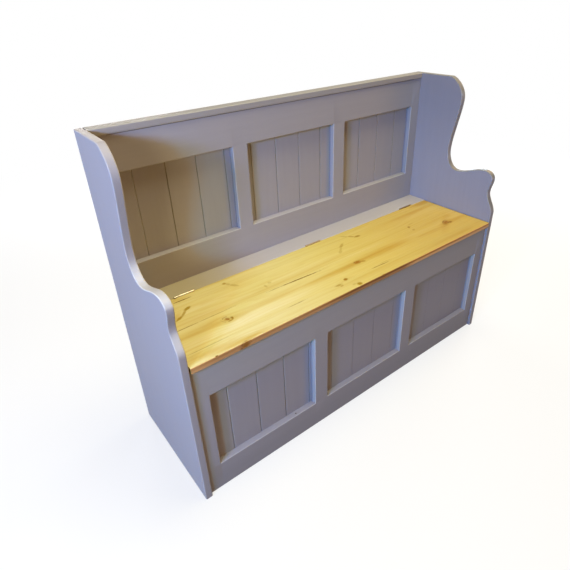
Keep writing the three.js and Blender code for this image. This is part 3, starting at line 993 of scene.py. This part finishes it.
@dataclass(frozen=True)
class PanelledFrame(Assembly):
    """A frame of stiles, rails and muntins whose joints are closed by paint."""

    side: str
    shaded_rail: str = ""
    arris: float = 2.0 * MM
    gap: float = 0.3 * MM
    closed: float = 0.28 * MM

    def build(self) -> None:
        """Builds and dresses the six members."""
        self._rail("top_rail")
        self._rail("bottom_rail")
        for hand in ("left", "right"):
            self._stile(f"{hand}_stile")
            self._muntin(f"{hand}_muntin")

    def _box(self, member: str) -> tuple[Vector, Vector]:
        """Gives the corners of one of the frame's members."""
        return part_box(f"{self.side}_{member}")

    def _opening(self) -> Span:
        """Gives the heights between which the openings stand."""
        return self._box("bottom_rail")[1].z, self._box("top_rail")[0].z

    def _close(self, piece: Piece, axis: str, place: float, way: float) -> None:
        """Moves a member's shoulder nearly up to the member that it meets.

        Args:
            piece: The member.
            axis: The axis that it runs along.
            place: Where the other member's side is.
            way: Which way that lies, as 1 or -1.
        """
        move = [way * self.closed * (name == axis) for name in "xyz"]
        shift_points(piece, lambda point: near(getattr(point, axis), place - way * self.gap, 0.1 * MM), move)

    def _finish(
        self,
        piece: Piece,
        member: str,
        paint: str,
        axis: str,
        places: Sequence[float],
        *spans: Span,
    ) -> None:
        """Eases a member's arrises along the openings and dresses it.

        Args:
            piece: The piece.
            member: The member.
            paint: Its finish.
            axis: The axis that the arrises lie across, x for a standing member and z for a level one.
            places: Where they lie on it.
            *spans: The places between which they run on the other of the two axes.
        """
        face = self._box(member)[0].y
        other = "x" if axis == "z" else "z"

        def is_arris(start: Vector, end: Vector) -> bool:
            """Tells whether an edge runs along an opening, on the frame's face.

            Args:
                start: The edge's first end.
                end: Its other end.

            Returns:
                Whether it does.
            """
            middle = (getattr(start, other) + getattr(end, other)) / 2
            beside = any(first < middle < last for first, last in spans)
            on_face = lies_at(start, end, "y", face)
            return beside and on_face and any(lies_at(start, end, axis, place) for place in places)

        ease_edges(piece, is_arris, self.arris)
        self.palette.dress(piece, f"{self.side}_{paint}_paint", Body.CARCASS, f"{self.side}_{member}")

    def _rail(self, member: str) -> None:
        """Builds a rail, whose shoulders meet the stiles.

        Args:
            member: The rail.
        """
        piece = merged_copy(f"{self.side}_{member}")
        shoulder = self._box("right_stile")[0].x
        for way in (-1.0, 1.0):
            self._close(piece, "x", way * shoulder, way)
        sides = [corner.x for hand in ("left", "right") for corner in self._box(f"{hand}_muntin")]
        split_at(piece, "x", *sides)
        height = self._opening()[member == "top_rail"]
        spans = ((-shoulder, sides[0]), (sides[1], sides[2]), (sides[3], shoulder))
        paint = "shaded" if member == self.shaded_rail else "level"
        self._finish(piece, member, paint, "z", (height,), *spans)

    def _stile(self, member: str) -> None:
        """Builds a stile.

        Args:
            member: The stile.
        """
        piece = merged_copy(f"{self.side}_{member}")
        low, high = self._box(member)
        split_at(piece, "z", *self._opening())
        inner = high.x if high.x < 0.0 else low.x
        self._finish(piece, member, "upright", "x", (inner,), self._opening())

    def _muntin(self, member: str) -> None:
        """Builds a muntin, whose shoulders meet the rails.

        Args:
            member: The muntin.
        """
        piece = merged_copy(f"{self.side}_{member}")
        for way, place in zip((-1.0, 1.0), self._opening()):
            self._close(piece, "z", place, way)
        sides = [corner.x for corner in self._box(member)]
        self._finish(piece, member, "upright", "x", sides, self._opening())


@dataclass(frozen=True)
class Matchboards(Assembly):
    """A row of boards, tongued and grooved, with a V at each joint, some of them filled with paint."""

    side: str
    inward: float
    box_top: float
    filled_from: float = 1.0
    count: int = 13
    easing: float = 0.3 * MM
    chamfer: float = 1.8 * MM
    filling: float = 1.55 * MM

    def build(self) -> None:
        """Builds and dresses the boards."""
        for number in range(1, self.count + 1):
            node = f"{self.side}_board_{number:02d}"
            piece = merged_copy(node)
            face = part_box(node)[0].y
            shift_points(piece, partial(self._is_filled, face), (0.0, -self.filling, 0.0))
            ease_edges(piece, partial(self._is_shoulder, face), self.easing, 2)
            split_at(piece, "z", self.box_top)
            self.palette.dress(piece, f"{self.side}_board_paint", Body.CARCASS, node)
            self.palette.bare(piece, "bare_board_pine", self._is_inside)

    def _is_filled(self, face: float, point: Vector) -> bool:
        """Tells whether a point lies at the bottom of a V that paint has filled."""
        return near(point.y, face + self.chamfer) and point.x > self.filled_from

    def _is_shoulder(self, face: float, start: Vector, end: Vector) -> bool:
        """Tells whether an edge is where the board's face turns into a V."""
        return lies_at(start, end, "y", face) and near(start.x, end.x)

    def _is_inside(self, middle: Vector, normal: Vector) -> bool:
        """Tells whether a face of a board looks into the box."""
        return normal.y * self.inward > 0.5 and middle.z < self.box_top


@dataclass(frozen=True)
class PlainMembers(Assembly):
    """Pieces that keep their own shape: the cap, the seat rail, the floor and its bearers."""

    finishes: tuple[tuple[str, str], ...] = (
        ("back_cap", "cap_paint"),
        ("seat_rail", "seat_rail_paint"),
        ("box_floor", "box_pine"),
        ("floor_bearer_back", "box_pine"),
        ("floor_bearer_front", "box_pine"),
    )

    def build(self) -> None:
        """Builds and dresses the pieces."""
        for node, finish in self.finishes:
            self.palette.dress(merged_copy(node), finish, Body.CARCASS, node)


@dataclass(frozen=True)
class PineLid(Assembly):
    """The lid: four planks, eased at their ends, on two battens."""

    planks: tuple[str, ...] = ("rear", "inner_rear", "inner_front", "front")
    end_easing: float = 1.6 * MM
    batten_easing: float = 1.0 * MM

    def build(self) -> None:
        """Builds and dresses the planks and battens."""
        for number, plank in enumerate(self.planks):
            node = f"lid_plank_{plank}"
            piece = merged_copy(node)
            ease_edges(piece, partial(self._is_end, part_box(node)), self.end_easing)
            self.palette.dress(piece, "lid_pine", Body.LID, node)
            under = ("box_pine", "under_pine")[number % 2]
            self.palette.bare(piece, under, lambda middle, normal: normal.z < -0.9)
        for hand in ("left", "right"):
            node = f"lid_batten_{hand}"
            piece = merged_copy(node)
            ease_edges(piece, lambda start, end: True, self.batten_easing, 2)
            self.palette.dress(piece, "batten_pine", Body.LID, node)

    @staticmethod
    def _is_end(box: tuple[Vector, Vector], start: Vector, end: Vector) -> bool:
        """Tells whether an edge lies across one of a plank's ends."""
        return near(start.z, end.z) and any(lies_at(start, end, "x", corner.x) for corner in box)


def make_head(name: str, radius: float, proud: float, slot: float = 0.0, sides: int = 24) -> Piece:
    """Makes the head of a screw or nail, with its top facing up and its rim at the origin's height.

    Args:
        name: The piece's name.
        radius: The head's radius.
        proud: How far it stands out.
        slot: The width of its slot, or zero for a nail.
        sides: How many sides its rim has.

    Returns:
        The piece, selected.
    """
    bpy.ops.object.select_all(action="DESELECT")
    middle = (0.0, 0.0, -2 * proud)
    bpy.ops.mesh.primitive_cylinder_add(vertices=sides, radius=radius, depth=6 * proud, location=middle)
    head = bpy.context.active_object
    head.name = name
    bpy.ops.object.transform_apply(location=True, rotation=True, scale=True)
    ease_edges(head, lambda start, end: lies_at(start, end, "z", proud), 0.7 * proud)
    if slot > 0.0:
        bpy.ops.object.select_all(action="DESELECT")
        size = (3 * radius, slot, 3 * proud)
        bpy.ops.mesh.primitive_cube_add(size=1.0, location=(0.0, 0.0, proud), scale=size)
        cutter = bpy.context.active_object
        activate(head)
        cut = head.modifiers.new("slot", "BOOLEAN")
        cut.object = cutter
        cut.operation = "DIFFERENCE"
        bpy.ops.object.modifier_apply(modifier=cut.name)
        bpy.data.objects.remove(cutter)
    return head


@dataclass(frozen=True)
class Hinges(Assembly):
    """Three butt hinges with their screws."""

    places: tuple[str, ...] = ("left", "middle", "right")
    leaf_gap: float = 0.2 * MM
    screw_radius: float = 2.6 * MM
    screw_proud: float = 0.12 * MM
    screw_slot: float = 0.7 * MM
    screw_drop: float = 9.6 * MM
    screw_pitch: float = 21.0 * MM
    screw_count: int = 3

    def build(self) -> None:
        """Builds and dresses the leaves and pins, and sets the screws."""
        parts = {"fixed_leaf": Body.CARCASS, "pin": Body.CARCASS, "moving_leaf": Body.LID}
        for place in self.places:
            for part, body in parts.items():
                node = f"hinge_{place}_{part}"
                self.palette.dress(merged_copy(node, "metal"), "dull_brass", body, node)
            self._screws(place, "fixed_leaf", Body.CARCASS, 1.0)
            self._screws(place, "moving_leaf", Body.LID, -1.0)

    def _screws(self, place: str, leaf: str, body: Body, way: float) -> None:
        """Sets the row of screws in a leaf, as one piece.

        Args:
            place: Which hinge it is.
            leaf: Which leaf it is.
            body: The body that the leaf moves with.
            way: Which side of the gap the leaf is on, as 1 for the rear and -1 for the front.
        """
        low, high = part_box(f"hinge_{place}_pin")
        axis = (low + high) / 2
        first = axis.x - (self.screw_count - 1) / 2 * self.screw_pitch
        name = f"hinge_{place}_{leaf}_screws"
        screw = make_head(name, self.screw_radius, self.screw_proud, self.screw_slot)
        row = screw.modifiers.new("row", "ARRAY")
        row.count = self.screw_count
        row.use_relative_offset = False
        row.use_constant_offset = True
        row.constant_offset_displace = (self.screw_pitch, 0.0, 0.0)
        bpy.ops.object.modifier_apply(modifier=row.name)
        turn = -way * math.pi / 2
        move = (first, axis.y + way * self.leaf_gap, axis.z - self.screw_drop)
        with editing(screw):
            bpy.ops.transform.rotate(value=turn, orient_axis="X", center_override=(0.0, 0.0, 0.0))
            bpy.ops.transform.translate(value=move)
        self.palette.dress(screw, "dull_brass", body)


@dataclass(frozen=True)
class LedgeNail(Assembly):
    """The head of a nail on the ledge under the front's left panel."""

    x: float = -282.0 * MM
    set_back: float = 8.5 * MM
    radius: float = 2.3 * MM
    proud: float = 0.25 * MM

    def build(self) -> None:
        """Builds and dresses the nail."""
        low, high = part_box("front_bottom_rail")
        nail = make_head("front_ledge_nail", self.radius, self.proud)
        with editing(nail):
            bpy.ops.transform.translate(value=(self.x, low.y + self.set_back, high.z))
        self.palette.dress(nail, "old_iron", Body.CARCASS)


@dataclass(frozen=True)
class Lamp:
    """A soft lamp that points at the middle of the bench."""

    name: str
    place: tuple[float, float, float]
    size: float
    power: float
    colour: Colour
    target: tuple[float, float, float] = (0.0, 0.0, 0.45)

    def build(self) -> None:
        """Hangs the lamp."""
        data = bpy.data.lights.new(self.name, "AREA")
        data.shape = "SQUARE"
        data.size = self.size
        data.energy = self.power
        data.color = self.colour
        lamp = bpy.data.objects.new(self.name, data)
        bpy.context.scene.collection.objects.link(lamp)
        lamp.location = self.place
        aim = Vector(self.target) - Vector(self.place)
        lamp.rotation_euler = aim.to_track_quat("-Z", "Y").to_euler()


@dataclass(frozen=True)
class Studio:
    """The camera, the lamps, the floor and the light all round."""

    camera_place: tuple[float, float, float] = (-0.8579, -0.9613, 1.1545)
    camera_yaw: float = -37.588
    camera_pitch: float = -30.275
    camera_roll: float = -1.673
    focal_pixels: float = 467.027
    picture_pixels: float = 570.0
    middle_pixels: tuple[float, float] = (299.478, 268.229)
    sensor: float = 36.0
    floor_size: float = 14.0
    floor_drop: float = 0.5 * MM
    floor_seen: Colour = (0.74, 0.76, 0.78)
    floor_bounce: Colour = (0.1, 0.088, 0.078)
    floor_white: float = 0.72
    floor_near: float = 1.1
    floor_far: float = 3.2
    ambient_colour: Colour = (0.05, 0.03, 0.02)
    lamps: tuple[Lamp, ...] = (
        Lamp("ceiling", (0.3, -0.25, 3.2), 1.4, 89.1, (1.0, 0.881, 0.527)),
        Lamp("window_far", (-2.5, -0.9, 1.5), 0.28, 51.6, (0.353, 0.444, 1.0)),
        Lamp("window_middle", (-2.6, -1.5, 1.5), 0.3, 37.0, (0.061, 0.598, 1.0)),
        Lamp("window_near", (-1.6, -1.0, 1.2), 0.35, 9.6, (1.0, 0.833, 0.456)),
        Lamp("lamp_front", (-0.9, -2.6, 1.3), 0.5, 14.8, (1.0, 0.428, 0.007)),
        Lamp("right", (2.6, 0.2, 1.3), 0.8, 20.2, (1.0, 0.561, 0.148)),
        Lamp("side_left", (-2.8, 0.5, 1.0), 0.8, 9.0, (1.0, 0.63, 0.19)),
        Lamp("fill_behind", (0.3, 3.0, 0.7), 1.0, 62.0, (1.0, 0.969, 0.952), (0.0, 0.2, 0.45)),
        Lamp("fill_right", (3.2, 1.0, 0.7), 1.0, 70.5, (0.6, 0.8, 1.0), (0.6, 0.0, 0.45)),
    )

    def build(self) -> None:
        """Sets up the studio."""
        self._camera()
        self._floor()
        self._world()
        for lamp in self.lamps:
            lamp.build()
        bpy.context.scene.view_settings.view_transform = "Standard"

    def _camera(self) -> None:
        """Places the camera where the photograph was taken from."""
        data = bpy.data.cameras.new("photo_camera")
        data.sensor_fit = "HORIZONTAL"
        data.sensor_width = self.sensor
        data.lens = self.focal_pixels / self.picture_pixels * self.sensor
        across, down = self.middle_pixels
        data.shift_x = 0.5 - across / self.picture_pixels
        data.shift_y = down / self.picture_pixels - 0.5
        camera = bpy.data.objects.new("photo_camera", data)
        bpy.context.scene.collection.objects.link(camera)
        turns = ((self.camera_yaw, "Z"), (90.0 + self.camera_pitch, "X"), (self.camera_roll, "Z"))
        yaw, pitch, roll = (Matrix.Rotation(math.radians(degrees), 4, axis) for degrees, axis in turns)
        camera.matrix_world = Matrix.Translation(self.camera_place) @ yaw @ pitch @ roll
        bpy.context.scene.camera = camera

    def _seen(self, graph: Graph) -> Socket:
        """Tells whether a surface is seen straight, in a gloss or through glass.

        Args:
            graph: The graph to add the nodes to.

        Returns:
            1 where it is, and 0 where it only gives light.
        """
        path = graph.add("LightPath").outputs
        shiny = graph.math("MAXIMUM", path["Is Glossy Ray"], path["Is Transmission Ray"])
        return graph.math("MAXIMUM", path["Is Camera Ray"], shiny)

    def _floor(self) -> None:
        """Lays the pale floor, which shows nearly white and keeps the bench's shadow."""
        bpy.ops.object.select_all(action="DESELECT")
        bpy.ops.mesh.primitive_plane_add(size=self.floor_size, location=(0.0, 0.0, -self.floor_drop))
        floor = bpy.context.active_object
        floor.name = "floor"
        surface = Surface("floor_pale")
        seen = self._seen(surface)
        colour = surface.blend(seen, self.floor_bounce, self.floor_seen)
        surface.wear(Base_Color=colour, Roughness=0.9, Specular_IOR_Level=0.0)
        glow = surface.add("Emission", {"Strength": 1.0}).outputs[0]
        distance = surface.length(surface.place)
        white = surface.smooth(distance, self.floor_near, self.floor_far, self.floor_white, 1.0)
        shares = {0: surface.times(seen, white), 1: surface.shader.outputs[0], 2: glow}
        mixed = surface.add("MixShader", shares).outputs[0]
        surface.feed(surface.tree.nodes["Material Output"].inputs["Surface"], mixed)
        floor.data.materials.append(surface.material)

    def _world(self) -> None:
        """Makes the light all round, behind a white background."""
        world = bpy.data.worlds.new("studio")
        bpy.context.scene.world = world
        world.use_nodes = True
        graph = Graph(world.node_tree)
        shaded = graph.tree.nodes["Background"]
        graph.feed(shaded.inputs["Color"], self.ambient_colour)
        shaded.inputs["Strength"].default_value = 1.0
        white = graph.add("Background", {"Color": (1.0, 1.0, 1.0), "Strength": 1.0})
        shares = {0: self._seen(graph), 1: shaded.outputs[0], 2: white.outputs[0]}
        mixed = graph.add("MixShader", shares).outputs[0]
        graph.feed(graph.tree.nodes["World Output"].inputs["Surface"], mixed)


def marks(*rows: tuple[float, ...]) -> tuple[Mark, ...]:
    """Makes marks from rows of x, depth, half length, half width, strength and turn."""
    return tuple(Mark(*row) for row in rows)


LID_FIGURE = Figure(
    knots=(
        Knot(-420, 278, 14, 11.5, strength=0.95, turn=-15, heart_share=0.62),
        Knot(34, 285, 14, 8.5, turn=4, stain_share=2.4),
        Knot(468, 284, 20, 10.5, turn=32),
        Knot(-61, 334, 7, 5.5, strength=0.6, heart_share=0.9, stain_share=1.7),
        Knot(-434, 394, 16, 11, turn=25, stain_share=1.2),
        Knot(42, 390, 10, 6, strength=0.75, heart_share=1.0, stain_share=1.2),
    ),
    pale=marks(
        (-380, 312, 330, 26, 0.9, 1), (100, 244, 220, 9, 0.9, -1), (-400, 224, 200, 18, 0.6),
        (-60, 210, 260, 24, 0.4), (-430, 185, 150, 20, 0.4), (560, 250, 48, 34),
        (520, 200, 110, 7, 0.4), (190, 204, 90, 7, 0.4), (-200, 362, 260, 9, 0.3),
    ),
    warm=marks(
        (-495, 276, 110, 19, 0.5), (-285, 280, 170, 16, 0.55), (-50, 286, 190, 20, 0.9),
        (165, 285, 200, 26, 1, -2), (370, 300, 150, 14, 0.5, -3), (520, 290, 100, 22, 0.7),
        (-515, 186, 34, 15, 0.9, 38), (-485, 118, 55, 14, 0.8), (430, 155, 200, 16, 0.5, 1),
        (550, 118, 90, 20), (300, 160, 300, 16, 0.35), (400, 368, 220, 12, 0.5),
        # The warm mark at x -440, depth 376 is painted shade: it darkens the lid's front-left strip against
        # the lamps' sheen there.
        (-520, 362, 110, 18, 0.9), (-440, 376, 150, 12), (-270, 273, 150, 11, 0.4),
        (20, 356, 240, 12, 0.4),
    ),
    smudges=marks(
        (-61, 334, 9, 7, 1, 20), (341, 226, 10, 6.5, 0.9, 35), (339, 249, 9, 5.5, 0.5, 30),
        (-339, 126, 9, 8, 0.85), (-256, 213, 5, 11, 0.4), (-477, 169, 17, 7, 1, 28),
        (-493, 183, 18, 5.5, 0.85, 45), (-514, 198, 20, 6, 1, 28),
        (-406.5, 282, 8, 3.6, 1, 74), (-415, 289, 10, 3.2, 0.8, 6),
        (-333, 134, 12, 7, 0.45, -60), (-321, 152, 16, 7, 0.45, -50),
        (53, 292, 12, 4.5, 0.7, -25), (482, 293, 13, 8), (72, 173, 20, 7, 0.6, 32),
        (53, 190, 22, 5, 0.35, 45), (40, 203, 14, 7, 0.4, 40), (157, 158, 16, 7.5, 0.9, -6),
        (141, 147, 17, 7, 0.6, -48), (122, 130, 18, 6, 0.4, -48), (-99, 345, 17, 6, 0.7),
        (-92, 352, 9, 5, 0.5, 30), (-46, 376, 13, 10, 1, -30), (-60, 369, 10, 5, 0.4),
        (-237, 206, 7, 6, 0.35), (368, 212, 18, 5, 0.2, 8),
    ),
    checks=marks(
        (-470, 124, 32, 2.6), (-530, 243, 60, 1.9, 0.8, 1), (-430, 241.5, 75, 1.6, 0.6, 1),
        (-162, 245.8, 105, 3.0, 1, -2.4), (-240, 243, 40, 2.0, 0.6), (-240, 339, 38, 1.9, 0.6),
        (-505, 341, 75, 1.7, 0.5), (75, 342, 48, 2.2, 0.8, -2), (100, 336, 30, 1.6, 0.4, -2),
        (-511, 385, 5, 3), (-481, 105, 5, 3),
    ),
)


def everywhere(tint: Colour, facing: Facing) -> PaintedLight:
    """Paints light or shade on all of a piece's faces that face one way."""
    return PaintedLight("Z", -0.2, -0.1, tint, facing)


def beside_muntin(start: float, full: float, tint: Colour) -> tuple[PaintedLight, PaintedLight]:
    """Paints the light that a muntin's lit left side throws back onto the boards beside it, as far as behind
    the muntin.

    Args:
        start: Where along the bench the tint starts.
        full: Where it is full.
        tint: The tint.

    Returns:
        The shade that brings the tint in and the one that takes it away.
    """
    undone = tuple(1.0 / channel for channel in tint)
    away = (full + 20.0 * MM, full + 35.0 * MM)
    return PaintedLight("X", start, full, tint, Facing.NOT_REAR), PaintedLight("X", *away, undone, Facing.NOT_REAR)


@dataclass(frozen=True)
class SideTints:
    """The painted light and shade on one side's frame, reveals and boards, and the tint of its V joints."""

    frame: tuple[PaintedLight, ...]
    reveals: tuple[PaintedLight, ...]
    boards: tuple[PaintedLight, ...]
    joint_tint: Colour
    first_joint: float


SIDES = {
    "back": SideTints(
        # Painted shade: the back darker towards the right end, on all but the rear faces.
        frame=(PaintedLight("X", 0.33, 0.56, (0.8, 0.88, 0.98), Facing.NOT_REAR),),
        # Painted light: the reveals that face left a little brighter; painted shade: those left of x -0.2
        # darker.
        reveals=(
            everywhere((1.03, 1.05, 1.04), Facing.LEFT),
            PaintedLight("X", -0.17, -0.2, (0.88, 0.9, 0.96), Facing.LEFT),
        ),
        # Painted reflection: the boards beside each muntin's lit left side tinted bluer.
        boards=(
            *beside_muntin(-0.245, -0.225, (0.82, 0.9, 1.12)),
            *beside_muntin(0.145, 0.162, (0.8, 0.96, 1.08)),
        ),
        joint_tint=(0.56, 0.55, 0.53),
        first_joint=0.3,
    ),
    "front": SideTints(
        # Painted light and shade: the front lighter towards the top and darker towards the floor.
        frame=(PaintedLight("Z", 0.26, 0.42, (1.1, 1.13, 1.05)), PaintedLight("Z", 0.14, 0.02, (0.86, 0.87, 0.87))),
        # Painted light: the reveals that face left brighter.
        reveals=(everywhere((1.2, 1.26, 1.18), Facing.LEFT),),
        # Painted reflection: the boards beside each muntin's lit left side tinted bluer.
        boards=(
            *beside_muntin(-0.25, -0.218, (0.8, 0.96, 1.2)),
            *beside_muntin(0.13, 0.162, (0.84, 1.02, 1.25)),
        ),
        joint_tint=(0.54, 0.53, 0.52),
        first_joint=0.75,
    ),
}
# Each end's arris colour, partly wear and partly painted highlight, then its painted light and shade: the
# left end's upward faces on the arm lit brighter; the right end's inner face darker and bluer, more so
# towards the top, and its upward faces darker.
ENDS = {
    "left": ((0.46, 0.45, 0.46), PaintedLight("Z", 0.72, 0.63, (1.38, 1.45, 1.4), Facing.UP)),
    "right": (
        (0.4, 0.39, 0.4),
        everywhere((0.88, 0.92, 1.0), Facing.LEFT),
        PaintedLight("Z", 0.56, 0.9, (0.79, 0.79, 0.8), Facing.LEFT),
        everywhere((0.58, 0.58, 0.53), Facing.UP),
    ),
}


def lid_pine() -> PineFinish:
    """Describes the lid's pine.

    Returns:
        The finish.
    """
    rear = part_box("left_end")[1].y
    planks = [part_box(f"lid_plank_{plank}") for plank in PineLid.planks]
    joints = tuple(rear - low.y for low, high in planks[:-1])
    return PineFinish("lid_pine", "waxed_pine", LID_FIGURE, joints, rear, top=planks[-1][1].z)


def side_paints(side: str, tints: SideTints) -> list[PaintFinish]:
    """Describes the paint of one side's frame and boards.

    Args:
        side: The side.
        tints: Its tints.

    Returns:
        The finishes of the level members, of the upright ones and of the boards.
    """
    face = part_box(f"{side}_board_07")[0].y
    # Painted shade: the left-facing reveals darker where they meet the boards.
    reveal_foot_shade = PaintedLight("Y", face - 7.5 * MM, face - 3.5 * MM, (0.66, 0.7, 0.78), Facing.LEFT)
    upright = (*tints.frame, *tints.reveals, reveal_foot_shade)
    joints = {"joint_face": face, "joint_tint": tints.joint_tint, "first_joint": tints.first_joint}
    boards = (*tints.frame, *tints.boards)
    return [
        PaintFinish(f"{side}_level_paint", grain=Grain.ALONG_LENGTH, painted_lights=tints.frame),
        PaintFinish(f"{side}_upright_paint", painted_lights=upright),
        PaintFinish(f"{side}_board_paint", "painted_boards", painted_lights=boards, **joints),
    ]


def make_palette() -> Palette:
    """Builds every finish.

    Returns:
        The finishes.
    """
    level = Grain.ALONG_LENGTH
    cap_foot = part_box("back_top_rail")[1].z
    # Painted shade: the cap's upward faces darker.
    cap = (everywhere((0.72, 0.72, 0.68), Facing.UP),)
    # Painted shadow: the left end's warm shadow on the seat rail's left part.
    corner = (PaintedLight("X", -0.23, -0.45, (0.98, 0.9, 0.58)),)
    finishes = [
        *(
            PaintFinish(f"{hand}_end_paint", shaped=1.0, arris_wear_and_highlight=tint, painted_lights=tuple(painted_lights))
            for hand, (tint, *painted_lights) in ENDS.items()
        ),
        # The cap: the same paint made darker as painted shade, with darker tops.
        PaintFinish("cap_paint", grain=level, colour=(0.31, 0.295, 0.315), painted_lights=cap),
        # The back's top rail, whose paint has a painted shadow under the cap.
        PaintFinish("back_shaded_paint", grain=level, shade_height=cap_foot, painted_lights=SIDES["back"].frame),
        *(paint for side, tints in SIDES.items() for paint in side_paints(side, tints)),
        # The seat rail: paint a little lighter than the others', partly worn paint and partly painted light
        # on this upward-facing rail, with the painted shadow at its left.
        PaintFinish("seat_rail_paint", "rail_paint", level, (0.365, 0.35, 0.38), painted_lights=corner),
        lid_pine(),
        BarePineFinish("batten_pine", "waxed_pine", "YXZ"),
        BarePineFinish("box_pine", "bare_pine", "XYZ"),
        BarePineFinish("under_pine", "bare_pine", "XYZ", middle=-0.11),
        BarePineFinish("bare_end_pine", "bare_pine", "ZYX"),
        BarePineFinish("bare_board_pine", "bare_pine", "ZXY"),
        HingeFinish("dull_brass"),
        HingeFinish("old_iron", bright=(0.2, 0.19, 0.19), dull=(0.07, 0.06, 0.055)),
    ]
    palette = Palette()
    for finish in finishes:
        palette.add(finish)
    return palette


def main() -> None:
    """Builds the bench and its studio."""
    logging.basicConfig(level=logging.INFO, format="%(name)s: %(message)s")
    palette = make_palette()
    front_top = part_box("front_board_01")[1].z
    assemblies = (
        ShapedEnds(palette),
        PanelledFrame(palette, "back", shaded_rail="top_rail"),
        Matchboards(palette, "back", inward=-1.0, box_top=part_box("back_bottom_rail")[0].z),
        PanelledFrame(palette, "front"),
        Matchboards(palette, "front", inward=1.0, box_top=front_top, filled_from=-0.15),
        PlainMembers(palette),
        PineLid(palette),
        Hinges(palette),
        LedgeNail(palette),
    )
    for assembly in assemblies:
        assembly.build()
    for name, body in palette.dressed.items():
        LOG.info("%s moves with the %s", name, body.value)
    Studio().build()


if __name__ == "__main__":
    main()
